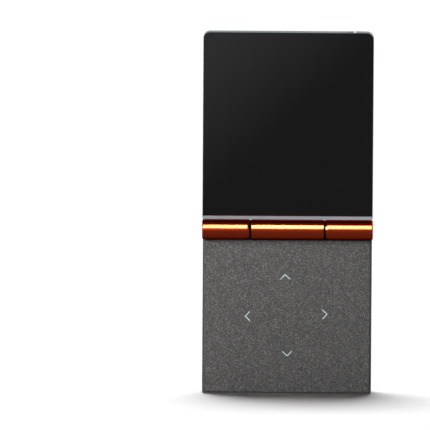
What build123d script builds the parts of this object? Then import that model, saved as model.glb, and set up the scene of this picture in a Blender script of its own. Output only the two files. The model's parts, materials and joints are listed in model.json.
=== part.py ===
from build123d import *
import os

# A folding digital audio player: a screen half above and a touch-pad half below, joined by a
# copper-coloured barrel hinge. It stands open on its lower end. Millimetres, +X to the right as
# seen from the front, +Y to its back, +Z up. The origin is on the plane it stands on, in the
# middle of its width.

# ---- driving dimensions -------------------------------------------------------------------
LID_HALF_WIDTH = 25.0
BASE_HALF_WIDTH = 24.8
BARREL_HALF_LENGTH = 25.05
LID_TOP = 106.4
LID_BOTTOM = 51.35
BASE_TOP = 45.45
BASE_DEPTH = 9.5
LID_DEPTH = 6.5
BARREL_R = 2.85
BACK_Y = 6.4                                # back of the base
FRONT_Y = BACK_Y - BASE_DEPTH               # face of the pad plate and of the glass
LID_BACK_Y = FRONT_Y + LID_DEPTH
HALF_CLOSED_GAP = 0.4                       # glass to pad plate is twice this when folded
AXIS_Y = FRONT_Y - HALF_CLOSED_GAP
AXIS_Z = (BASE_TOP + LID_BOTTOM) / 2

# ---- base: walls and layers, front to back ------------------------------------------------
CASE_FRONT = FRONT_Y + 0.2                  # the rim lies just behind the plate's face
PLATE_BACK = FRONT_Y + 0.95
SENSOR_FRONT = PLATE_BACK + 0.1
RECESS_FLOOR = FRONT_Y + 1.3
INNER_FRONT = FRONT_Y + 2.1
COVER_THICK = 1.1
INNER_BACK = BACK_Y - COVER_THICK
INNER_HALF = 23.6
INNER_BOTTOM = 1.2
INNER_TOP = BASE_TOP - 1.2
PLATE_HALF = 24.35
PLATE_BOTTOM = 0.45
PLATE_CORNER_R = 0.85
CASE_CORNER_R = 0.9
COVER_HALF = 23.95                          # half width of the back cover
EDGE_R = 0.45                               # softening of the outer back edges
SLIP = 0.05                                 # assembly gap around covers and plates
BOARD_FRONT = INNER_FRONT + 0.45
BOARD_BACK = BOARD_FRONT + 0.8
BATTERY_FRONT = BOARD_BACK + 1.35
BATTERY_BACK = INNER_BACK - 0.25
BOSS_X = 21.6
BOSS_Z = (3.4, 41.8)
BOSS_R = 1.7
BASE_SCREW_R = 0.7
BASE_HEAD_R = 1.3

# ---- touch pad ----------------------------------------------------------------------------
PAD_CENTRE_X = -0.24                        # the cross of arrows sits a little left of the middle
PAD_CENTRE_Z = 23.18
MARK_TURN = 1.8                             # degrees: the cross of arrows sits slightly turned
MARK_REACH = 12.0                           # from the pad's centre to each arrow's point
MARK_ARM = 1.27                             # rise and run of one arm
MARK_LINE = 0.27
MARK_DEPTH = 0.15
MARK_PROUD = 0.02

# ---- hinge --------------------------------------------------------------------------------
KNUCKLE_X = 11.2                            # inner ends of the two base knuckles
MIDDLE_HALF = 10.6                          # half length of the lid's knuckle
CORE_R = 2.4
SLEEVE_INNER_R = 2.42
SLEEVE_BACK = AXIS_Y + 1.85                 # the sleeves are open behind this plane
BLOCK_FRONT = AXIS_Y + 1.9
BLOCK_TOP = LID_BOTTOM - 0.2
WEB_BACK = 2.9                              # back of the lid's web between the blocks
BRIDGE_FRONT = 4.0                          # the base's wall behind the web
CAP_X = 24.45                               # where the sleeves' end walls start
BACK_SLOPE = BASE_DEPTH - LID_DEPTH
CLIP_BORE_R = 1.7
BUSH_BORE_R = 1.9
TUBE_EDGE = 0.06                            # broken edge at the middle sleeve's ends
TAPER_LENGTH = 0.62                         # tapered inner ends of the outer sleeves
TAPER_DEPTH = 0.3
WASHER_R = BARREL_R - 0.2
WASHER_SLIP = 0.02
SHAFT_R = 1.0
SQUARE = 1.4                                # across the flats of the friction shaft's key
PIN_R = 1.5
PIN_BORE_R = 0.85
CLIP_STARTS = (-22.9, -20.0, -17.1, -14.2)
CLIP_WIDTH = 2.2

# ---- side buttons -------------------------------------------------------------------------
BUTTON_Y = BOARD_BACK + 0.8
BUTTON_HALF_THICK = 0.9
BUTTON_GAP = 0.08
FLANGE_X = (22.7, 23.5)
SWITCH_X = (19.6, 21.4)
PLUNGER_X = (20.75, FLANGE_X[0])
BUTTONS = {                                 # name: (side, middle height, length)
    "power": (1, 32.0, 9.0),
    "volume_up": (-1, 33.5, 8.0),
    "volume_down": (-1, 22.5, 8.0),
}

# ---- charging socket ----------------------------------------------------------------------
USB_HALF_WIDTH = 3.75
USB_HEIGHT = 2.6
USB_BOTTOM = 0.35
USB_TOP = 5.6
USB_WALL = 0.25

# ---- lid: walls and layers, front to back -------------------------------------------------
GLASS_BACK = FRONT_Y + 0.9
FRAME_FRONT = GLASS_BACK + 0.15
LID_INNER_FRONT = FRAME_FRONT + 0.8
LID_COVER_THICK = 0.8
LID_INNER_BACK = LID_BACK_Y - LID_COVER_THICK
LID_INNER_HALF = 23.8
LID_INNER_BOTTOM = 53.2
LID_INNER_TOP = LID_TOP - 1.2
CHIN_TOP = 52.35                            # bright strip of the frame under the glass
LID_CORNER_R = 2.0
LID_EDGE = 0.12                             # softening of the chin's front edges
GLASS_HALF = 24.9
GLASS_TOP = LID_TOP - 0.05
GLASS_EDGE = 0.15
LCD_HALF = 19.0
LCD_BOTTOM = 54.6
LCD_TOP = 91.4
LCD_BACK = FRAME_FRONT + 1.3
LIGHT_BACK = LCD_BACK + 1.1
TRAY_BACK = LIGHT_BACK + 0.3
LID_BOSS_X = 21.9
LID_BOSS_Z = (56.0, 89.5)
LID_BOSS_R = 1.5
LID_SCREW_R = 0.6
LID_HEAD_R = 1.1

# ---- headphone socket ---------------------------------------------------------------------
JACK_X = 18.7
JACK_Y = FRONT_Y + LID_DEPTH / 2
JACK_BORE_R = 1.8
JACK_HALF = 2.8
JACK_HALF_DEPTH = 2.15
JACK_BORE_BOTTOM = LID_TOP - 14.1
JACK_BOTTOM = JACK_BORE_BOTTOM - 0.7
COLLAR_R = 2.1
COLLAR_BOTTOM = LID_INNER_TOP - 0.05

# ---- hinge ribbon -------------------------------------------------------------------------
RIBBON_THICK = 0.15
BASE_RIBBON_X = (17.9, 19.5)                # where it leaves the main board
KNUCKLE_RIBBON_X = (21.5, 23.1)             # where it turns into the right knuckle
BASE_RIBBON_Y = 0.55                        # front of the upright run behind the hinge
RIBBON_STEP_Z = (46.2, 47.8)                # its sideways run inside the hinge block
LID_RIBBON_X = (2.9, 5.1)
LID_RIBBON_Y = TRAY_BACK + 0.17
SLOT_HALF = 0.45

OVER = 1.0                                  # how far a cutting tool runs past a face


# ---- helpers ------------------------------------------------------------------------------
def block(x0, x1, y0, y1, z0, z1):
    """A box between two corners."""
    middle = Pos((x0 + x1) / 2, (y0 + y1) / 2, (z0 + z1) / 2)
    return middle * Box(x1 - x0, y1 - y0, z1 - z0)


def rod_x(x0, x1, radius, y=AXIS_Y, z=AXIS_Z):
    """A rod along X, on the hinge axis unless placed elsewhere."""
    return Pos((x0 + x1) / 2, y, z) * Rot(0, 90, 0) * Cylinder(radius, x1 - x0)


def taper_x(x0, x1, radius0, radius1):
    """A cone frustum along X, on the hinge axis."""
    return Pos((x0 + x1) / 2, AXIS_Y, AXIS_Z) * Rot(0, 90, 0) * Cone(radius0, radius1, x1 - x0)


def rod_y(x, z, y0, y1, radius):
    """A rod along Y."""
    return Pos(x, (y0 + y1) / 2, z) * Rot(90, 0, 0) * Cylinder(radius, y1 - y0)


def rod_z(x, y, z0, z1, radius):
    """A rod along Z."""
    return Pos(x, y, (z0 + z1) / 2) * Cylinder(radius, z1 - z0)


def slab(half, y0, y1, z0, z1, radius):
    """An upright plate, centred on X, with its four corners rounded in the front view."""
    plate = block(-half, half, y0, y1, z0, z1)
    return fillet(plate.edges().filter_by(Axis.Y), radius)


def face_edges(solid, axis, last):
    """The outline of the foremost or rearmost flat face along an axis."""
    return solid.faces().sort_by(axis)[-1 if last else 0].edges()


def mirrored(side, x0, x1):
    """An X interval on the right (side 1) or the left (side -1), in rising order."""
    return sorted((side * x0, side * x1))


def corners(x, heights):
    """The four screw places at +-x and two heights."""
    return [(side * x, z) for side in (-1, 1) for z in heights]


# ---- base shells --------------------------------------------------------------------------
def base_outside():
    """Outer form of the base, with the two hinge blocks and the wall that joins them."""
    body = block(-BASE_HALF_WIDTH, BASE_HALF_WIDTH, CASE_FRONT, BACK_Y, 0, BLOCK_TOP)
    body = fillet(body.edges().filter_by(Axis.Y).group_by(Axis.Z)[0], CASE_CORNER_R)
    body = fillet(face_edges(body, Axis.Y, True), EDGE_R)
    wide = BASE_HALF_WIDTH + OVER
    body -= block(-wide, wide, CASE_FRONT - OVER, BLOCK_FRONT, BASE_TOP, BLOCK_TOP + OVER)
    body -= block(-KNUCKLE_X, KNUCKLE_X, BLOCK_FRONT - OVER, BRIDGE_FRONT, BASE_TOP, BLOCK_TOP + OVER)
    cutter = 2 * BACK_SLOPE
    shift = cutter / 2 ** 1.5
    slope_y = BACK_Y - BACK_SLOPE / 2 + shift
    slope_z = BLOCK_TOP - BACK_SLOPE / 2 + shift
    body -= Pos(0, slope_y, slope_z) * Rot(45, 0, 0) * Box(2 * wide, cutter, cutter)
    return body


def button_slot(side, z, length):
    """Round-ended opening in the side wall for one button."""
    x0, x1 = mirrored(side, INNER_HALF - OVER, BASE_HALF_WIDTH + OVER)
    reach = BUTTON_HALF_THICK + BUTTON_GAP
    half = length / 2 + BUTTON_GAP
    slot = block(x0, x1, BUTTON_Y - reach, BUTTON_Y + reach, z - half, z + half)
    return fillet(slot.edges().filter_by(Axis.X), reach - 0.01)


def base_case():
    """Tub of the base: walls, plate recess, screw bosses and the two hinge knuckles."""
    body = base_outside()
    hollow = slab(INNER_HALF, INNER_FRONT, INNER_BACK + OVER, INNER_BOTTOM, INNER_TOP, 0.8)
    body -= hollow
    body -= slab(COVER_HALF + SLIP, INNER_BACK, BACK_Y + OVER, 0.6, BASE_TOP - 0.6, 1.0)
    for x, z in corners(BOSS_X, BOSS_Z):
        body += rod_y(x, z, INNER_FRONT - 0.1, INNER_BACK, BOSS_R)
    wide = PLATE_HALF + SLIP
    low = PLATE_BOTTOM - SLIP
    recess = block(-wide, wide, CASE_FRONT - OVER, RECESS_FLOOR, low, BASE_TOP + OVER)
    body -= fillet(recess.edges().filter_by(Axis.Y).group_by(Axis.Z)[0], PLATE_CORNER_R + SLIP)
    for side in (-1, 1):
        x0, x1 = mirrored(side, KNUCKLE_X, CAP_X)
        body += rod_x(x0, x1, CORE_R)
        x0, x1 = mirrored(side, CAP_X - 0.05, BASE_HALF_WIDTH + OVER)
        body -= rod_x(x0, x1, BARREL_R + SLIP)
    body -= rod_x(-CAP_X - OVER, -KNUCKLE_X + OVER, CLIP_BORE_R)
    body -= rod_x(KNUCKLE_X - OVER, CAP_X + OVER, BUSH_BORE_R)
    for x, z in corners(BOSS_X, BOSS_Z):
        body -= rod_y(x, z, INNER_FRONT + 0.6, BACK_Y + OVER, BASE_SCREW_R + 0.02)
    for side, z, length in BUTTONS.values():
        body -= button_slot(side, z, length)
    body -= usb_opening()
    body -= ribbon_way_in_base()
    return body


def usb_opening():
    """Slot in the bottom wall around the charging socket."""
    y0 = BOARD_BACK - 0.1
    y1 = BOARD_BACK + USB_HEIGHT + 0.1
    half = USB_HALF_WIDTH + 0.1
    slot = block(-half, half, y0, y1, -OVER, INNER_BOTTOM + OVER)
    return fillet(slot.edges().filter_by(Axis.Z), 0.2)


def ribbon_way_in_base():
    """Channel from the base's inside, up behind the right knuckle and forward into its bore."""
    y0 = BASE_RIBBON_Y - 0.35
    y1 = BASE_RIBBON_Y + 0.5
    z0, z1 = RIBBON_STEP_Z
    top = AXIS_Z + SLOT_HALF
    x0 = BASE_RIBBON_X[0] - 0.2
    x1 = KNUCKLE_RIBBON_X[1] + 0.2
    upright = block(x0, BASE_RIBBON_X[1] + 0.2, y0, y1, INNER_TOP - OVER, z1)
    step = block(x0, x1, y0, y1, z0 - 0.2, top)
    return upright + step + block(KNUCKLE_RIBBON_X[0] - 0.2, x1, AXIS_Y, y1, top - 2 * SLOT_HALF, top)


def base_back_cover():
    """Flat cover over the base's back, with four counterbored screw holes."""
    cover = slab(COVER_HALF, INNER_BACK, BACK_Y, 0.65, BASE_TOP - 0.65, 0.95)
    cover = chamfer(face_edges(cover, Axis.Y, True), 0.15)
    for x, z in corners(BOSS_X, BOSS_Z):
        cover -= rod_y(x, z, INNER_BACK - OVER, BACK_Y + OVER, BASE_SCREW_R + 0.1)
        cover -= rod_y(x, z, BACK_Y - 0.75, BACK_Y + OVER, BASE_HEAD_R + 0.1)
    return cover


def screw(x, z, tip, head_front, head_back, shank_r, head_r):
    """A cross-recessed screw driven in from the back."""
    body = rod_y(x, z, tip, head_front, shank_r)
    head = rod_y(x, z, head_front, head_back, head_r)
    body += chamfer(face_edges(head, Axis.Y, True), 0.15)
    arm = head_r * 0.6
    for half_x, half_z in ((arm, 0.15), (0.15, arm)):
        body -= block(x - half_x, x + half_x, head_back - 0.35, head_back + OVER,
                      z - half_z, z + half_z)
    return body


def base_screws():
    """Four screws that hold the base's back cover."""
    return [screw(x, z, INNER_FRONT + 1.0, BACK_Y - 0.75, BACK_Y - 0.05, BASE_SCREW_R, BASE_HEAD_R)
            for x, z in corners(BOSS_X, BOSS_Z)]


# ---- touch pad ----------------------------------------------------------------------------
def arrow(quarter, front, back):
    """One right-angled arrow, turned by quarter turns about the pad's centre."""
    arm = Box(MARK_LINE, back - front, MARK_ARM * 2 ** 0.5 + MARK_LINE)
    half = MARK_ARM / 2
    pair = Pos(half, 0, -half) * Rot(0, -45, 0) * arm + Pos(-half, 0, -half) * Rot(0, 45, 0) * arm
    turned = Rot(0, 90 * quarter - MARK_TURN, 0) * Pos(0, 0, MARK_REACH) * pair
    return Pos(PAD_CENTRE_X, (front + back) / 2, PAD_CENTRE_Z) * turned


def arrow_marks():
    """Four inlaid arrows that mark the touch areas."""
    return [arrow(quarter, FRONT_Y - MARK_PROUD, FRONT_Y + MARK_DEPTH) for quarter in range(4)]


def pad_plate():
    """Textured front plate of the base, with pockets for the four arrows."""
    plate = block(-PLATE_HALF, PLATE_HALF, FRONT_Y, PLATE_BACK, PLATE_BOTTOM, BASE_TOP - 0.05)
    plate = fillet(plate.edges().filter_by(Axis.Y).group_by(Axis.Z)[0], PLATE_CORNER_R)
    plate = fillet(face_edges(plate, Axis.Y, False), 0.2)
    for quarter in range(4):
        plate -= arrow(quarter, FRONT_Y - OVER, FRONT_Y + MARK_DEPTH)
    return plate


def pad_adhesive():
    """Adhesive sheet between the plate and the touch film."""
    return slab(23.6, PLATE_BACK, SENSOR_FRONT, 1.3, BASE_TOP - 0.6, 0.8)


def touch_sensor():
    """Capacitive touch film, with its tail at the top."""
    film = slab(22.5, SENSOR_FRONT, RECESS_FLOOR, 2.5, BASE_TOP - 1.8, 0.8)
    return film + block(-15, -9, SENSOR_FRONT, RECESS_FLOOR, BASE_TOP - 2.5, BASE_TOP - 0.6)


# ---- base electronics ---------------------------------------------------------------------
def main_board():
    """Main circuit board, notched around the four screw bosses."""
    board = block(-21, 21, BOARD_FRONT, BOARD_BACK, 1.8, 43.2)
    for x, z in corners(BOSS_X, BOSS_Z):
        board -= rod_y(x, z, BOARD_FRONT - OVER, BOARD_BACK + OVER, BOSS_R + 0.3)
    return board


def chip(x0, x1, z0, z1, height):
    """A component on the back of the main board."""
    return block(x0, x1, BOARD_BACK, BOARD_BACK + height, z0, z1)


def shield_can():
    """Tinned cover over the processor and the memory."""
    can = chip(-14.5, 10.5, 25.5, 40.5, 1.2)
    return can - chip(-14.35, 10.35, 25.65, 40.35, 1.05)


def battery():
    """Flat pouch cell with its folded seams along the sides."""
    cell = block(-16.6, 16.6, BATTERY_FRONT, BATTERY_BACK, 8.5, 41.0)
    cell = fillet(cell.edges().filter_by(Axis.Z), 1.2)
    middle = (BATTERY_FRONT + BATTERY_BACK) / 2
    return cell + block(-17.5, 17.5, middle - 0.3, middle + 0.3, 8.5, 41.0)


def battery_leads():
    """Two leads from the protection board down to the main board."""
    return [rod_y(x, 42.3, BOARD_BACK, BATTERY_FRONT + 0.6, 0.4) for x in (-5.0, -2.5)]


def usb_shell():
    """Steel shell of the charging socket, open at the bottom end."""
    y0 = BOARD_BACK
    y1 = BOARD_BACK + USB_HEIGHT
    shell = block(-USB_HALF_WIDTH, USB_HALF_WIDTH, y0, y1, USB_BOTTOM, USB_TOP)
    shell = chamfer(shell.edges().filter_by(Axis.Z).group_by(Axis.Y)[-1], 0.7)
    inner_half = USB_HALF_WIDTH - USB_WALL
    room = block(-inner_half, inner_half, y0 + USB_WALL, y1 - USB_WALL,
                 USB_BOTTOM - OVER, USB_TOP - USB_WALL)
    return shell - chamfer(room.edges().filter_by(Axis.Z).group_by(Axis.Y)[-1], 0.6)


def usb_tongue():
    """Insulating tongue inside the charging socket."""
    y0 = BOARD_BACK + 0.6
    return block(-2.4, 2.4, y0, y0 + 0.6, USB_BOTTOM + 0.5, USB_TOP - USB_WALL)


def side_switches():
    """Three small switches behind the side buttons, each with a pocket for its plunger."""
    switches = []
    for side, z, _ in BUTTONS.values():
        x0, x1 = mirrored(side, SWITCH_X[0], SWITCH_X[1])
        body = block(x0, x1, BOARD_BACK, BUTTON_Y + 0.8, z - 2.3, z + 2.3)
        x0, x1 = mirrored(side, PLUNGER_X[0] - 0.35, SWITCH_X[1] + OVER)
        switches.append(body - block(x0, x1, BUTTON_Y - 0.5, BUTTON_Y + 0.5, z - 0.75, z + 0.75))
    return switches


def button(side, z, length):
    """Side button, flush with the case, kept in by a flange behind the wall."""
    x0, x1 = mirrored(side, FLANGE_X[1] - 0.1, BASE_HALF_WIDTH)
    thick = BUTTON_HALF_THICK
    half = length / 2
    cap = block(x0, x1, BUTTON_Y - thick, BUTTON_Y + thick, z - half, z + half)
    cap = fillet(cap.edges().filter_by(Axis.X), thick - 0.02)
    cap = chamfer(face_edges(cap, Axis.X, side > 0), 0.15)
    x0, x1 = mirrored(side, FLANGE_X[0], FLANGE_X[1])
    return cap + block(x0, x1, BUTTON_Y - 1.35, BUTTON_Y + 1.35, z - half - 0.45, z + half + 0.45)


def plunger(side, z):
    """Switch plunger between a side button and its contact."""
    x0, x1 = mirrored(side, PLUNGER_X[0], PLUNGER_X[1])
    return block(x0, x1, BUTTON_Y - 0.42, BUTTON_Y + 0.42, z - 0.65, z + 0.65)


# ---- hinge --------------------------------------------------------------------------------
def sleeve(x0, x1):
    """Open-backed tube that covers a knuckle."""
    tube = rod_x(x0, x1, BARREL_R)
    tube = chamfer(tube.edges().filter_by(GeomType.CIRCLE), TUBE_EDGE)
    tube -= rod_x(x0 - OVER, x1 + OVER, SLEEVE_INNER_R)
    return tube - block(x0 - OVER, x1 + OVER, SLEEVE_BACK, AXIS_Y + 2 * BARREL_R,
                        AXIS_Z - 2 * BARREL_R, AXIS_Z + 2 * BARREL_R)


def outer_barrel(side):
    """Coloured sleeve over a base knuckle: tapered at its inner end, closed at its outer end."""
    taper_end = KNUCKLE_X + TAPER_LENGTH
    x0, x1 = mirrored(side, taper_end, CAP_X + 0.1)
    tube = rod_x(x0, x1, BARREL_R)
    x0, x1 = mirrored(side, KNUCKLE_X, taper_end)
    narrow = BARREL_R - TAPER_DEPTH
    radii = (narrow, BARREL_R) if side > 0 else (BARREL_R, narrow)
    tube += taper_x(x0, x1, *radii)
    x0, x1 = mirrored(side, KNUCKLE_X - OVER, CAP_X)
    tube -= rod_x(x0, x1, SLEEVE_INNER_R)
    tube -= block(x0, x1, SLEEVE_BACK, AXIS_Y + 2 * BARREL_R,
                  AXIS_Z - 2 * BARREL_R, AXIS_Z + 2 * BARREL_R)
    x0, x1 = mirrored(side, CAP_X, BARREL_HALF_LENGTH)
    cap = rod_x(x0, x1, BARREL_R)
    return tube + fillet(face_edges(cap, Axis.X, side > 0), 0.4)


def friction_clips():
    """Split spring rings that grip the friction shaft."""
    rings = []
    for start in CLIP_STARTS:
        ring = rod_x(start, start + CLIP_WIDTH, CLIP_BORE_R - 0.02)
        ring -= rod_x(start - OVER, start + CLIP_WIDTH + OVER, SHAFT_R + 0.03)
        ring -= block(start - OVER, start + CLIP_WIDTH + OVER, AXIS_Y - 0.3, AXIS_Y + 0.3,
                      AXIS_Z - 2 * CLIP_BORE_R, AXIS_Z)
        rings.append(ring)
    return rings


def friction_shaft():
    """Shaft keyed into the lid's knuckle and gripped by the friction clips."""
    key_start = -MIDDLE_HALF - 0.05
    shaft = rod_x(-23.6, key_start, SHAFT_R)
    half = SQUARE / 2
    shaft += block(key_start, -5.5, AXIS_Y - half, AXIS_Y + half, AXIS_Z - half, AXIS_Z + half)
    groove = rod_x(-23.42, -22.98, 2 * SHAFT_R) - rod_x(-24, -22, SHAFT_R - 0.18)
    return shaft - groove


def shaft_retainer():
    """Open clip in the groove near the friction shaft's end."""
    ring = rod_x(-23.4, -23.0, 1.55) - rod_x(-24, -22, SHAFT_R - 0.16)
    return ring - block(-24, -22, AXIS_Y - 0.7, AXIS_Y + 0.7, AXIS_Z - 2, AXIS_Z)


def pivot_pin():
    """Hollow pin fixed in the lid's knuckle; the ribbon passes through it."""
    pin = rod_x(2.0, 20.9, PIN_R) - rod_x(2.8, 21.9, PIN_BORE_R)
    return pin - block(LID_RIBBON_X[0] - 0.1, LID_RIBBON_X[1] + 0.2, AXIS_Y, AXIS_Y + 2 * PIN_R,
                       AXIS_Z - SLOT_HALF, AXIS_Z + SLOT_HALF)


def washer(side, bore_radius):
    """Thin washer between the lid's knuckle and one of the base's."""
    x0, x1 = mirrored(side, MIDDLE_HALF + WASHER_SLIP, KNUCKLE_X - WASHER_SLIP)
    return rod_x(x0, x1, WASHER_R) - rod_x(x0 - OVER, x1 + OVER, bore_radius)


def hinge_washers():
    """The washers on the friction shaft and on the pivot pin."""
    return [washer(-1, SHAFT_R + SLIP), washer(1, PIN_R + SLIP)]


def pivot_bush():
    """Plain bearing in the base's right knuckle."""
    return rod_x(KNUCKLE_X, 18.5, BUSH_BORE_R - 0.02) - rod_x(KNUCKLE_X - 1, 19.5, PIN_R + 0.04)


def base_flex():
    """Ribbon from the main board up into the right knuckle."""
    x0, x1 = KNUCKLE_RIBBON_X
    y0 = BASE_RIBBON_Y
    y1 = y0 + RIBBON_THICK
    z0, z1 = RIBBON_STEP_Z
    top = AXIS_Z + RIBBON_THICK / 2
    rise = block(BASE_RIBBON_X[0], BASE_RIBBON_X[1], y0, y1, 39.4, z1)
    step = block(BASE_RIBBON_X[0], x1, y0, y1, z0, z1)
    upright = block(x0, x1, y0, y1, z0, top)
    return rise + step + upright + block(x0, x1, AXIS_Y - 0.6, y1, top - RIBBON_THICK, top)


def lid_flex():
    """Ribbon from the hollow pin, back through the web and up to the display board."""
    x0, x1 = LID_RIBBON_X
    y0 = LID_RIBBON_Y
    y1 = y0 + RIBBON_THICK
    half = RIBBON_THICK / 2
    along = block(x0, 20.7, AXIS_Y - 0.6, AXIS_Y + 0.6, AXIS_Z - half, AXIS_Z + half)
    across = block(x0, x1, AXIS_Y, y1, AXIS_Z - half, AXIS_Z + half)
    return along + across + block(x0, x1, y0, y1, AXIS_Z - half, 95.0)


# ---- lid shells ---------------------------------------------------------------------------
def lid_outside():
    """Outer form of the lid, cut back behind the glass but for the chin."""
    body = block(-LID_HALF_WIDTH, LID_HALF_WIDTH, FRONT_Y, LID_BACK_Y, LID_BOTTOM, LID_TOP)
    body = fillet(body.edges().filter_by(Axis.Y).group_by(Axis.Z)[-1], LID_CORNER_R)
    body = fillet(body.edges().filter_by(Axis.Y).group_by(Axis.Z)[0], 0.5)
    body = fillet(face_edges(body, Axis.Y, True), EDGE_R)
    body = fillet(face_edges(body, Axis.Y, False), LID_EDGE)
    wide = LID_HALF_WIDTH + OVER
    return body - block(-wide, wide, FRONT_Y - OVER, FRAME_FRONT, CHIN_TOP, LID_TOP + OVER)


def lid_frame():
    """Metal frame of the lid, with the web and knuckle that hang between the base's blocks."""
    body = lid_outside()
    body -= slab(LID_INNER_HALF, LID_INNER_FRONT, LID_BACK_Y + OVER, LID_INNER_BOTTOM,
                 LID_INNER_TOP, 0.8)
    body -= slab(24.3, LID_INNER_BACK, LID_BACK_Y + OVER, LID_BOTTOM + 0.6, LID_TOP - 0.6, 1.2)
    for x, z in corners(LID_BOSS_X, LID_BOSS_Z):
        boss = rod_y(x, z, LID_INNER_FRONT - 0.1, LID_INNER_BACK, LID_BOSS_R)
        body += boss - rod_y(x, z, LID_INNER_FRONT + 0.4, LID_INNER_BACK + OVER, LID_SCREW_R + 0.02)
    body -= block(-LCD_HALF - 0.4, LCD_HALF + 0.4, FRAME_FRONT - OVER, LID_INNER_FRONT + OVER,
                  LCD_BOTTOM - 0.4, LCD_TOP + 0.4)
    body -= block(JACK_X - JACK_HALF - 0.1, JACK_X + JACK_HALF + 0.1, FRAME_FRONT - OVER,
                  LID_INNER_FRONT + OVER, JACK_BOTTOM - 0.1, LID_INNER_TOP)
    body -= rod_z(JACK_X, JACK_Y, LID_INNER_TOP - OVER, LID_TOP + OVER, COLLAR_R + 0.02)
    web = block(-MIDDLE_HALF, MIDDLE_HALF, BLOCK_FRONT, WEB_BACK, BASE_TOP + 0.2, LID_BOTTOM + 0.6)
    body += chamfer(web.edges().filter_by(Axis.X).group_by(Axis.Y)[-1].group_by(Axis.Z)[0], 0.8)
    body += rod_x(-MIDDLE_HALF, MIDDLE_HALF, CORE_R)
    half = SQUARE / 2 + 0.02
    body -= block(-MIDDLE_HALF - OVER, -5.4, AXIS_Y - half, AXIS_Y + half,
                  AXIS_Z - half, AXIS_Z + half)
    body -= rod_x(1.9, MIDDLE_HALF + OVER, PIN_R + 0.02)
    return body - ribbon_way_in_lid()


def ribbon_way_in_lid():
    """Channel from the lid's knuckle, back into the web and up into the lid."""
    x0 = LID_RIBBON_X[0] - 0.2
    x1 = LID_RIBBON_X[1] + 0.2
    y1 = LID_RIBBON_Y + 0.5
    across = block(x0, x1, AXIS_Y, y1, AXIS_Z - SLOT_HALF, AXIS_Z + SLOT_HALF)
    return across + block(x0, x1, LID_RIBBON_Y - 0.35, y1, AXIS_Z - SLOT_HALF,
                          LID_INNER_BOTTOM + 0.1)


def lid_back_cover():
    """Thin metal cover over the lid's back, with four counterbored screw holes."""
    cover = slab(24.25, LID_INNER_BACK, LID_BACK_Y, LID_BOTTOM + 0.65, LID_TOP - 0.65, 1.15)
    cover = chamfer(face_edges(cover, Axis.Y, True), 0.12)
    for x, z in corners(LID_BOSS_X, LID_BOSS_Z):
        cover -= rod_y(x, z, LID_INNER_BACK - OVER, LID_BACK_Y + OVER, LID_SCREW_R + 0.1)
        cover -= rod_y(x, z, LID_BACK_Y - 0.5, LID_BACK_Y + OVER, LID_HEAD_R + 0.1)
    return cover


def lid_screws():
    """Four screws that hold the lid's back cover."""
    return [screw(x, z, LID_INNER_FRONT + 0.8, LID_BACK_Y - 0.5, LID_BACK_Y - 0.05,
                  LID_SCREW_R, LID_HEAD_R) for x, z in corners(LID_BOSS_X, LID_BOSS_Z)]


def screen_glass():
    """Cover glass over the whole front of the lid, with softened front edges."""
    glass = block(-GLASS_HALF, GLASS_HALF, FRONT_Y, GLASS_BACK, CHIN_TOP + 0.03, GLASS_TOP)
    glass = fillet(glass.edges().filter_by(Axis.Y).group_by(Axis.Z)[-1], LID_CORNER_R - 0.1)
    return fillet(face_edges(glass, Axis.Y, False), GLASS_EDGE)


def glass_adhesive():
    """Adhesive frame between the glass and the lid frame."""
    ring = slab(24.5, GLASS_BACK, FRAME_FRONT, CHIN_TOP + 0.1, LID_TOP - 0.6, 1.2)
    return ring - block(-LCD_HALF - 0.5, LCD_HALF + 0.5, GLASS_BACK - OVER, FRAME_FRONT + OVER,
                        LCD_BOTTOM - 0.5, LCD_TOP + 0.5)


# ---- lid electronics ----------------------------------------------------------------------
def lcd_layer(y0, y1):
    """One layer of the display stack."""
    return block(-LCD_HALF, LCD_HALF, y0, y1, LCD_BOTTOM, LCD_TOP)


def lcd_tray():
    """Pressed tray that holds the display stack from behind."""
    half = LCD_HALF + 0.35
    tray = block(-half, half, LIGHT_BACK - 1.6, TRAY_BACK, LCD_BOTTOM - 0.35, LCD_TOP)
    room = LCD_HALF + 0.05
    return tray - block(-room, room, LIGHT_BACK - 2.6, LIGHT_BACK, LCD_BOTTOM - 0.05, LCD_TOP + OVER)


def display_board():
    """Circuit board above the display."""
    return block(-19.5, 13.0, TRAY_BACK - 0.65, TRAY_BACK + 0.15, 93.2, 104.8)


def display_driver():
    """Driver chip on the front of the display board."""
    return block(-6.0, 2.0, TRAY_BACK - 1.55, TRAY_BACK - 0.65, 97.0, 101.0)


def display_flex():
    """Short ribbon from the display panel to the display board."""
    front = TRAY_BACK - 0.65 - RIBBON_THICK
    rise = block(-5.0, 5.0, front, front + RIBBON_THICK, LCD_TOP, 95.5)
    return rise + block(-5.0, 5.0, LCD_BACK - 0.4, front, LCD_TOP, LCD_TOP + RIBBON_THICK)


def closing_magnet():
    """Magnet that the base's sensor feels when the player is folded shut."""
    z = 2 * AXIS_Z - 16.0
    return block(-22.8, -20.6, LID_INNER_FRONT, LID_INNER_FRONT + 1.6, z - 1.0, z + 1.0)


def headphone_jack():
    """Moulded body of the headphone socket, bored from the top."""
    body = block(JACK_X - JACK_HALF, JACK_X + JACK_HALF, JACK_Y - JACK_HALF_DEPTH,
                 JACK_Y + JACK_HALF_DEPTH, JACK_BOTTOM, COLLAR_BOTTOM)
    body -= rod_z(JACK_X, JACK_Y, JACK_BORE_BOTTOM, LID_TOP, JACK_BORE_R)
    for z in (95.0, 99.0, 103.0):
        body -= block(JACK_X - JACK_HALF - OVER, JACK_X - JACK_BORE_R + 0.4, JACK_Y - 0.6,
                      JACK_Y + 0.6, z - 0.5, z + 0.5)
    return body


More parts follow.
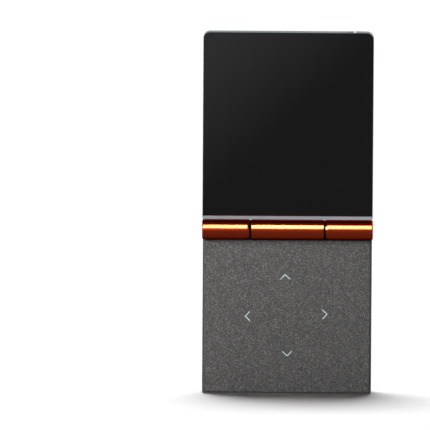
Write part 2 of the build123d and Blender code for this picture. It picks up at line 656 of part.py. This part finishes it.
def jack_contacts():
    """Spring contacts in the socket's side windows."""
    x0 = JACK_X - JACK_HALF
    return [block(x0, JACK_X - JACK_BORE_R - 0.02, JACK_Y - 0.5, JACK_Y + 0.5, z - 0.4, z + 0.4)
            for z in (95.0, 99.0, 103.0)]


def jack_collar():
    """Metal ring around the mouth of the headphone socket."""
    ring = rod_z(JACK_X, JACK_Y, COLLAR_BOTTOM, LID_TOP, COLLAR_R)
    return ring - rod_z(JACK_X, JACK_Y, COLLAR_BOTTOM - OVER, LID_TOP + OVER, JACK_BORE_R)


# ---- the whole player ---------------------------------------------------------------------
def all_parts():
    """Every sub-part by name; a list is a group of identical loose pieces."""
    parts = {
        "base_case": base_case(),
        "base_back_cover": base_back_cover(),
        "base_screws": base_screws(),
        "pad_plate": pad_plate(),
        "arrow_marks": arrow_marks(),
        "pad_adhesive": pad_adhesive(),
        "touch_sensor": touch_sensor(),
        "main_board": main_board(),
        "processor": chip(-13.0, -3.0, 27.5, 37.5, 0.9),
        "memory_chip": chip(-1.0, 9.0, 27.0, 39.0, 0.95),
        "audio_dac": chip(-12.0, -7.0, 14.0, 19.0, 0.9),
        "headphone_amp": chip(-3.0, 0.5, 14.5, 18.0, 0.8),
        "power_chip": chip(4.5, 8.5, 14.0, 18.0, 0.8),
        "clock_crystals": [chip(-17.0, -14.5, 14.8, 18.0, 0.7), chip(11.5, 14.0, 15.0, 17.0, 0.7)],
        "shield_can": shield_can(),
        "hall_sensor": chip(-20.4, -19.0, 15.0, 17.0, 0.7),
        "flex_connector": chip(14.6, 19.4, 39.0, 41.2, BASE_RIBBON_Y - BOARD_BACK),
        "usb_shell": usb_shell(),
        "usb_tongue": usb_tongue(),
        "battery": battery(),
        "battery_board": block(-9, 9, BATTERY_FRONT + 0.6, BATTERY_FRONT + 1.6, 41.2, 43.4),
        "battery_leads": battery_leads(),
        "battery_pad": block(-14, 14, BATTERY_BACK, INNER_BACK, 11.0, 38.5),
        "side_switches": side_switches(),
        "barrel_left": outer_barrel(-1),
        "barrel_right": outer_barrel(1),
        "friction_clips": friction_clips(),
        "pivot_bush": pivot_bush(),
        "hinge_washers": hinge_washers(),
        "base_flex": base_flex(),
        "lid_frame": lid_frame(),
        "lid_back_cover": lid_back_cover(),
        "lid_screws": lid_screws(),
        "screen_glass": screen_glass(),
        "glass_adhesive": glass_adhesive(),
        "lcd_panel": lcd_layer(FRAME_FRONT, LCD_BACK),
        "backlight": lcd_layer(LCD_BACK, LIGHT_BACK),
        "lcd_tray": lcd_tray(),
        "display_board": display_board(),
        "display_driver": display_driver(),
        "display_flex": display_flex(),
        "lid_flex": lid_flex(),
        "closing_magnet": closing_magnet(),
        "headphone_jack": headphone_jack(),
        "jack_contacts": jack_contacts(),
        "jack_collar": jack_collar(),
        "barrel_middle": sleeve(-MIDDLE_HALF, MIDDLE_HALF),
        "friction_shaft": friction_shaft(),
        "shaft_retainer": shaft_retainer(),
        "pivot_pin": pivot_pin(),
    }
    for name, (side, z, length) in BUTTONS.items():
        parts[name + "_button"] = button(side, z, length)
        parts[name + "_plunger"] = plunger(side, z)
    return parts


def main():
    os.makedirs("parts", exist_ok=True)
    for name, shape in all_parts().items():
        if isinstance(shape, list):
            shape = Compound(children=[piece for piece in shape])
        export_step(shape, f"parts/{name}.step")


main()
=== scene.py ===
import json
import math

import bpy
from mathutils import Matrix, Vector


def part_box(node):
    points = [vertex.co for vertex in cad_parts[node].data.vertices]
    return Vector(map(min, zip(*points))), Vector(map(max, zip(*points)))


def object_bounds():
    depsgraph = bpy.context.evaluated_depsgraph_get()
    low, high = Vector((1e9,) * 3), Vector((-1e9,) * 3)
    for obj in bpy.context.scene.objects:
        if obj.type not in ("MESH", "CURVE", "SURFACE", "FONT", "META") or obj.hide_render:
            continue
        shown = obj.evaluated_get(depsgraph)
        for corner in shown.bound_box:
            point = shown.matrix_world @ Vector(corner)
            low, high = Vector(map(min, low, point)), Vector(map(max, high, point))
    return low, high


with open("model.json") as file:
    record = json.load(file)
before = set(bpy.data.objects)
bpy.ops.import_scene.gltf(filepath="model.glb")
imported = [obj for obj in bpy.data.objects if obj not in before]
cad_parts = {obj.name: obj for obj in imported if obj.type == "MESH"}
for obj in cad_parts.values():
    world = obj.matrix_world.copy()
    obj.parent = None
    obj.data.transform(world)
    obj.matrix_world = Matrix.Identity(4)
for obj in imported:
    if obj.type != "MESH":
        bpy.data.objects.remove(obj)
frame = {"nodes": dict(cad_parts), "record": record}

cad_low, cad_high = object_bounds()

MM = 0.001

# ---- the view, and the glow on the glass ----------------------------------------------------
CAMERA_SIDE = (0.2, 5.5)        # azimuth and elevation in degrees; azimuth 0 is in front
CAMERA_ROLL = 0.36              # degrees
FRAME_WIDTH = 126.05 * MM       # what the frame spans at the player
FRAME_CENTRE_X = -21.28 * MM    # the player stands right of the middle
FRAME_CENTRE_Z = 52.9 * MM
SHEEN = 0.4                     # brightest part of the glow that the glass mirrors


# ---- the shared calls that every node tree is built from ------------------------------------
class Nodes:
    """A node tree, with the few calls that the finishes, the glow and the world all need."""

    def __init__(self, tree):
        self.tree = tree
        self.place = self.node("TexCoord").outputs["Object"]

    def node(self, kind, inputs=None, **settings):
        """A new node with its settings, and its inputs set to numbers or linked to sockets."""
        made = self.tree.nodes.new("ShaderNode" + kind)
        for key, value in settings.items():
            setattr(made, key, value)
        for key, value in (inputs or {}).items():
            if isinstance(value, bpy.types.NodeSocket):
                self.tree.links.new(value, made.inputs[key])
            else:
                made.inputs[key].default_value = value
        return made

    def maths(self, operation, first, second):
        made = self.node("Math", {0: first, 1: second}, operation=operation)
        return made.outputs["Value"]

    def spread(self, factor, low, high, start=0.0, end=1.0):
        """Maps a factor between start and end to values between low and high."""
        made = self.node("MapRange", {"Value": factor, "From Min": start, "From Max": end,
                                      "To Min": low, "To Max": high})
        return made.outputs["Result"]

    def ramp(self, factor, *stops):
        """Colours along a factor from 0 to 1, as (position, colour) stops."""
        made = self.node("ValToRGB", {"Fac": factor})
        elements = made.color_ramp.elements
        while len(elements) < len(stops):
            elements.new(0.5)
        for element, (position, colour) in zip(elements, stops):
            element.position = position
            element.color = (*colour, 1)
        return made.outputs["Color"]

    def mixed(self, factor, first, second):
        """The first number where the factor is 0, the second where it is 1."""
        return self.node("Mix", {"Factor": factor, "A": first, "B": second}).outputs["Result"]


class Finish(Nodes):
    """A new node material around one Principled shader."""

    def __init__(self, name, **sockets):
        self.material = bpy.data.materials.new(name)
        self.material.use_nodes = True
        super().__init__(self.material.node_tree)
        self.shader = self.tree.nodes["Principled BSDF"]
        for socket, value in sockets.items():
            self.shader.inputs[socket.replace("_", " ")].default_value = value

    def stretched(self, x, y, z):
        """Object coordinates multiplied axis by axis, so that a pattern runs along one of them."""
        scaled = self.node("Mapping", {"Vector": self.place, "Scale": (x, y, z)})
        return scaled.outputs["Vector"]

    def noise(self, size, detail=3.0, roughness=0.5, along=None):
        """Soft noise from 0 to 1, with features about size metres across."""
        made = self.node("TexNoise", {"Vector": along or self.place, "Scale": 1 / size,
                                      "Detail": detail, "Roughness": roughness})
        return made.outputs["Fac"]

    def cells(self, size, output="Color"):
        """Random cells about size metres across: their colour, or the distance to their middle."""
        made = self.node("TexVoronoi", {"Vector": self.place, "Scale": 1 / size})
        return made.outputs[output]

    def link(self, socket, output):
        self.tree.links.new(output, self.shader.inputs[socket])

    def bump(self, height, distance, strength=1.0, under=None):
        """Raises the surface by height times distance, on top of another bump if there is one."""
        inputs = {"Height": height, "Distance": distance, "Strength": strength}
        if under is not None:
            inputs["Normal"] = under
        return self.node("Bump", inputs).outputs["Normal"]


def shade(colour, factor):
    """A colour made lighter or darker."""
    return tuple(min(1.0, channel * factor) for channel in colour)


# ---- finishes ------------------------------------------------------------------------------
def blasted_aluminium(name, colour, roughness, metallic=1.0):
    """Bead-blasted and anodised aluminium: very fine pits and faint cloudy handling marks."""
    f = Finish(name, Metallic=metallic)
    cloud = f.noise(6 * MM, 2)
    f.link("Base Color", f.ramp(cloud, (0.3, shade(colour, 0.93)), (0.7, shade(colour, 1.05))))
    f.link("Roughness", f.spread(f.noise(1.5 * MM, 4), roughness - 0.05, roughness + 0.06))
    f.link("Normal", f.bump(f.noise(0.09 * MM, 2), 0.004 * MM, 0.6))
    return f.material


def copper_anodised(name):
    """Turned aluminium dyed a deep copper orange, which darkens at a glancing angle."""
    f = Finish(name, Metallic=1.0, Specular_Tint=(0.14, 0.0, 0.0, 1.0))
    cloud = f.noise(5 * MM, 2)
    f.link("Base Color", f.ramp(cloud, (0.3, (0.88, 0.088, 0.028)), (0.7, (0.94, 0.098, 0.032))))
    turned = f.noise(0.05 * MM, 1, along=f.stretched(1, 0.02, 0.02))
    f.link("Roughness", f.spread(turned, 0.14, 0.20))
    f.link("Normal", f.bump(turned, 0.001 * MM, 0.5))
    return f.material


def flake_lacquer(name, dark, light, painted_glint):
    """Dark textured lacquer: pebbled grain and tiny flakes, the brightest of them painted glints."""
    f = Finish(name, Metallic=0.0)
    grain = f.noise(0.27 * MM, 2)
    flakes = f.node("SeparateColor", {"Color": f.cells(0.2 * MM)}).outputs["Red"]
    mixed = f.maths("ADD", f.maths("MULTIPLY", grain, 0.6), f.maths("MULTIPLY", flakes, 0.4))
    # the last stop is painted glints: the brightest flakes are lighter in colour, not lit
    f.link("Base Color", f.ramp(mixed, (0.28, dark), (0.55, light), (0.80, painted_glint)))
    f.link("Roughness", f.spread(flakes, 0.42, 0.62))
    pebbles = f.bump(grain, 0.05 * MM, 0.5)
    f.link("Normal", f.bump(flakes, 0.01 * MM, 0.4, pebbles))
    return f.material


def black_glass(name):
    """Gloss black cover glass with the faintest smudges."""
    f = Finish(name, Metallic=0.0, IOR=1.5)
    smudge = f.noise(9 * MM, 4, 0.6)
    f.link("Base Color", f.ramp(smudge, (0.3, (0.0042, 0.0042, 0.0043)), (0.8, (0.005, 0.005, 0.0052))))
    f.link("Roughness", f.spread(smudge, 0.02, 0.05, 0.35, 0.75))
    return f.material


def moulded(name, colour, roughness, grain=0.15 * MM, gloss=0.5):
    """Moulded plastic or rubber with a fine spark-eroded grain."""
    f = Finish(name, Metallic=0.0, Specular_IOR_Level=gloss)
    tone = f.noise(2 * MM, 3)
    f.link("Base Color", f.ramp(tone, (0.3, shade(colour, 0.88)), (0.7, shade(colour, 1.08))))
    f.link("Roughness", f.spread(f.noise(grain, 2), roughness - 0.06, roughness + 0.06))
    f.link("Normal", f.bump(f.noise(grain, 2), 0.006 * MM, 0.5))
    return f.material


def drawn_metal(name, colour, roughness):
    """Rolled or turned metal with fine lines along X."""
    f = Finish(name, Metallic=1.0)
    lines = f.noise(0.06 * MM, 2, along=f.stretched(0.04, 1, 1))
    f.link("Base Color", f.ramp(lines, (0.3, shade(colour, 0.9)), (0.7, shade(colour, 1.06))))
    f.link("Roughness", f.spread(lines, roughness - 0.05, roughness + 0.08))
    f.link("Normal", f.bump(lines, 0.002 * MM, 0.5))
    return f.material


def printed_board(name):
    """Green solder mask over copper, with faint track relief."""
    f = Finish(name, Metallic=0.0, Coat_Weight=0.4, Coat_Roughness=0.2)
    tracks = f.cells(1.1 * MM, "Distance")
    f.link("Base Color", f.ramp(tracks, (0.2, (0.008, 0.11, 0.045)), (0.55, (0.004, 0.06, 0.026))))
    f.link("Roughness", f.spread(f.noise(0.3 * MM), 0.35, 0.5))
    f.link("Normal", f.bump(tracks, 0.02 * MM, 0.4))
    return f.material


def finishes():
    """One finish for each of the record's material slots."""
    return {
        "frame_metal": blasted_aluminium("silver_frame", (0.215, 0.23, 0.243), 0.5, 0.25),
        # the third colour of each lacquer is its painted glints, a lighter flake tone
        "case_metal": flake_lacquer("case_lacquer", (0.020, 0.020, 0.0195), (0.033, 0.033, 0.032),
                                    (0.055, 0.055, 0.055)),
        "pad_finish": flake_lacquer("pad_lacquer", (0.016, 0.0155, 0.015), (0.040, 0.0385, 0.0378),
                                    (0.140, 0.136, 0.133)),
        "arrow_inlay": moulded("arrow_inlay", (0.35, 0.415, 0.43), 0.4),
        "copper_anodised": copper_anodised("copper_barrel"),
        "cover_glass": black_glass("black_glass"),
        "adhesive": moulded("black_adhesive", (0.02, 0.02, 0.02), 0.8),
        "display_stack": moulded("dark_display", (0.015, 0.015, 0.02), 0.2, 0.05 * MM),
        "light_guide": moulded("white_light_guide", (0.8, 0.82, 0.83), 0.4),
        "pressed_steel": drawn_metal("pressed_steel", (0.60, 0.60, 0.60), 0.35),
        "hardened_steel": drawn_metal("hardened_steel", (0.42, 0.42, 0.43), 0.3),
        "bearing_brass": drawn_metal("bearing_brass", (0.70, 0.48, 0.20), 0.35),
        "contact_gold": drawn_metal("contact_gold", (0.85, 0.58, 0.22), 0.25),
        "circuit_board": printed_board("green_board"),
        "chip_black": moulded("black_chip", (0.014, 0.014, 0.015), 0.6),
        "ribbon_amber": moulded("amber_ribbon", (0.40, 0.16, 0.02), 0.35),
        "cell_pouch": blasted_aluminium("cell_pouch", (0.55, 0.56, 0.58), 0.4),
        "lead_cover": moulded("red_lead", (0.40, 0.015, 0.015), 0.45),
        "foam": moulded("dark_foam", (0.05, 0.05, 0.05), 0.95, 0.3 * MM),
        "magnet_plate": drawn_metal("magnet_plate", (0.70, 0.70, 0.70), 0.15),
        "button_metal": blasted_aluminium("dark_button", (0.09, 0.09, 0.09), 0.38),
        "plunger_plastic": moulded("pale_plunger", (0.65, 0.65, 0.63), 0.5),
        "socket_plastic": moulded("black_socket", (0.002, 0.002, 0.002), 0.7, gloss=0.0),
    }


def dress(record, nodes):
    """Gives every CAD node the finish of its material slot."""
    made = finishes()
    for part in record["subparts"]:
        node = nodes[part["node"]]
        node.data.materials.clear()
        node.data.materials.append(made[part["material_slot"]])


# ---- studio --------------------------------------------------------------------------------
def toward(azimuth, elevation):
    """Unit vector from the player towards a place given in degrees; azimuth 0 is in front."""
    azimuth = math.radians(azimuth)
    elevation = math.radians(elevation)
    level = math.cos(elevation)
    return Vector((math.sin(azimuth) * level, -math.cos(azimuth) * level, math.sin(elevation)))


def aim(thing, place, target, roll=0.0):
    """Puts a camera or lamp at a place, looking at a target."""
    turn = (target - place).to_track_quat("-Z", "Y").to_matrix().to_4x4()
    thing.matrix_world = Matrix.Translation(place) @ turn @ Matrix.Rotation(math.radians(roll), 4, "Z")


def add_object(name, data):
    thing = bpy.data.objects.new(name, data)
    bpy.context.scene.collection.objects.link(thing)
    return thing


def studio_camera(target):
    """A very long lens in front and slightly above; the player stands right in the frame."""
    distance = 6.0
    data = bpy.data.cameras.new("camera")
    data.sensor_width = 36.0
    data.lens = data.sensor_width * distance / FRAME_WIDTH
    data.clip_start = 0.1
    data.clip_end = 100.0
    camera = add_object("camera", data)
    aim(camera, target + toward(*CAMERA_SIDE) * distance, target, CAMERA_ROLL)
    bpy.context.scene.camera = camera


def softbox(name, direction, distance, size, radiance, target, receivers):
    """A rectangular soft lamp, placed by azimuth and elevation, limited by its light group."""
    data = bpy.data.lights.new(name, "AREA")
    data.shape = "RECTANGLE"
    data.size, data.size_y = size
    data.energy = radiance * math.pi * size[0] * size[1]
    lamp = add_object(name, data)
    lamp.visible_camera = False
    aim(lamp, target + toward(*direction) * distance, target)
    lamp.light_linking.receiver_collection = receivers
    return lamp


def light_group(link_state, *things):
    """A collection that makes a lamp leave some objects out (EXCLUDE), or light only them (INCLUDE)."""
    group = bpy.data.collections.new("light_group")
    for thing in things:
        group.objects.link(thing)
    for entry in group.collection_objects:
        entry.light_linking.link_state = link_state
    return group


def overhead_light(name, direction, strength, softness):
    """A soft light from above that whitens the floor, left out of reflections.

    Its softness is how wide it looks, in degrees.
    """
    data = bpy.data.lights.new(name, "SUN")
    data.energy = strength
    data.angle = math.radians(softness)
    lamp = add_object(name, data)
    aim(lamp, toward(*direction), Vector((0, 0, 0)))
    lamp.visible_glossy = False


def grey_levels(*stops):
    """Stops for a ramp along a direction's part from -1 to 1, as (place, level) pairs."""
    return [((place + 1) / 2, (level, level, level)) for place, level in stops]


def surroundings():
    """Pale grey to the camera, and nearly black to diffuse rays.

    The gloss sees a dim room, brighter behind and dark overhead. Every level is a share of the
    background shader's own light grey.
    """
    pale = 1.0
    nearly_black = 0.005
    world = bpy.data.worlds.new("studio")
    bpy.context.scene.world = world
    world.use_nodes = True
    world.node_tree.nodes.clear()
    w = Nodes(world.node_tree)
    direction = w.node("SeparateXYZ", {0: w.node("TexCoord").outputs["Generated"]})
    height = w.spread(direction.outputs["Z"], 0.0, 1.0, -1.0, 1.0)
    front = w.ramp(height, *grey_levels((-1, 0.14), (-0.3, 0.20), (-0.05, 0.24), (0.2, 0.22),
                                        (0.6, 0.10), (0.95, 0.06)))
    behind = w.ramp(height, *grey_levels((-1, 0.10), (-0.1, 0.60), (0.1, 0.90), (0.3, 0.40),
                                         (0.6, 0.04)))
    room = w.mixed(w.spread(direction.outputs["Y"], 0.0, 1.0, -0.1, 0.5), front, behind)
    rays = w.node("LightPath").outputs
    unseen = w.mixed(rays["Is Diffuse Ray"], room, nearly_black)
    seen = w.mixed(rays["Is Camera Ray"], unseen, pale)
    background = w.node("Background", {"Strength": seen})
    w.node("OutputWorld", {"Surface": background.outputs[0]})


def square(name, middle, across, up):
    """A flat four-sided sheet from its middle and its two half sides."""
    mesh = bpy.data.meshes.new(name)
    places = [middle + across * x + up * z for x, z in ((-1, -1), (1, -1), (1, 1), (-1, 1))]
    mesh.from_pydata(places, [], [(0, 1, 2, 3)])
    return add_object(name, mesh)


def floor(half_size):
    """Plain pale floor under the player, left out of reflections so that it stays off the gloss."""
    ground = square("floor", Vector((0, 0, 0)), Vector((half_size, 0, 0)), Vector((0, half_size, 0)))
    f = Finish("pale_floor", Roughness=0.9)
    f.link("Base Color", f.ramp(f.noise(0.05, 3), (0.3, (0.90, 0.90, 0.90)), (0.7, (0.92, 0.92, 0.92))))
    ground.data.materials.append(f.material)
    ground.visible_glossy = False
    return ground


def graded_card(glass_low, glass_high):
    """A faint glow for the sheen on the glass, brightest where the top left corner mirrors it.

    It stands in front of the glass, in the direction that the long lens's view is mirrored to.
    Only reflections show it.
    """
    away = 0.3
    half_size = 60 * MM
    dark_end = 1.4 * MM
    bright_end = 31 * MM
    uphill = Vector((-0.67, 0, 0.74))
    mirrored_view = toward(-CAMERA_SIDE[0], -CAMERA_SIDE[1])
    middle = (glass_low + glass_high) / 2
    middle.y = glass_low.y
    middle += mirrored_view * (away / -mirrored_view.y)
    card = square("graded_card", middle, Vector((half_size, 0, 0)), Vector((0, 0, half_size)))
    material = bpy.data.materials.new("graded_glow")
    material.use_nodes = True
    material.node_tree.nodes.clear()
    g = Nodes(material.node_tree)
    from_middle = g.node("VectorMath", {0: g.place, 1: middle}, operation="SUBTRACT").outputs[0]
    climb = g.node("VectorMath", {0: from_middle, 1: uphill}, operation="DOT_PRODUCT")
    level = g.spread(climb.outputs["Value"], 0.0, SHEEN, dark_end, bright_end)
    glow = g.node("Emission", {"Strength": level}).outputs[0]
    clear = g.node("BsdfTransparent").outputs[0]
    both = g.node("AddShader", {0: glow, 1: clear}).outputs[0]
    g.node("OutputMaterial", {"Surface": both})
    card.data.materials.append(material)
    card.visible_camera = False
    card.visible_diffuse = False
    card.visible_transmission = False
    card.visible_shadow = False


def studio(low, high):
    """Camera, floor and lights; lamp directions are azimuth and elevation in degrees."""
    bpy.context.scene.view_settings.view_transform = "Standard"
    surroundings()
    ground = floor(half_size=8.0)
    lid = frame["nodes"]["lid_frame"]
    glass = frame["nodes"]["screen_glass"]
    off_floor = light_group("EXCLUDE", ground)
    off_lid = light_group("EXCLUDE", ground, lid, glass)
    only_lid = light_group("INCLUDE", lid)
    studio_camera(Vector((FRAME_CENTRE_X, low.y, FRAME_CENTRE_Z)))
    middle = Vector((0, low.y, high.z / 2))
    softbox("hinge_strip", direction=(0, 39.2), distance=0.75, size=(0.06, 0.50),
            radiance=31.0, target=middle, receivers=off_lid)
    softbox("key", direction=(-50, 24), distance=0.28, size=(0.12, 0.12),
            radiance=33.0, target=middle, receivers=off_lid)
    cool = softbox("frame_light", direction=(27, 9), distance=0.4, size=(0.3, 0.3),
                   radiance=12.9, target=middle, receivers=only_lid)
    cool.data.color = (0.76, 0.97, 1.0)
    cool.visible_glossy = False
    softbox("back", direction=(130, 35), distance=0.9, size=(0.6, 0.4),
            radiance=3.0, target=middle, receivers=off_floor)
    overhead_light("overhead", direction=(197, 72.3), strength=3.97, softness=29)
    graded_card(*(Vector(corner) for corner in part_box("screen_glass")))


dress(frame["record"], frame["nodes"])
studio(cad_low, cad_high)
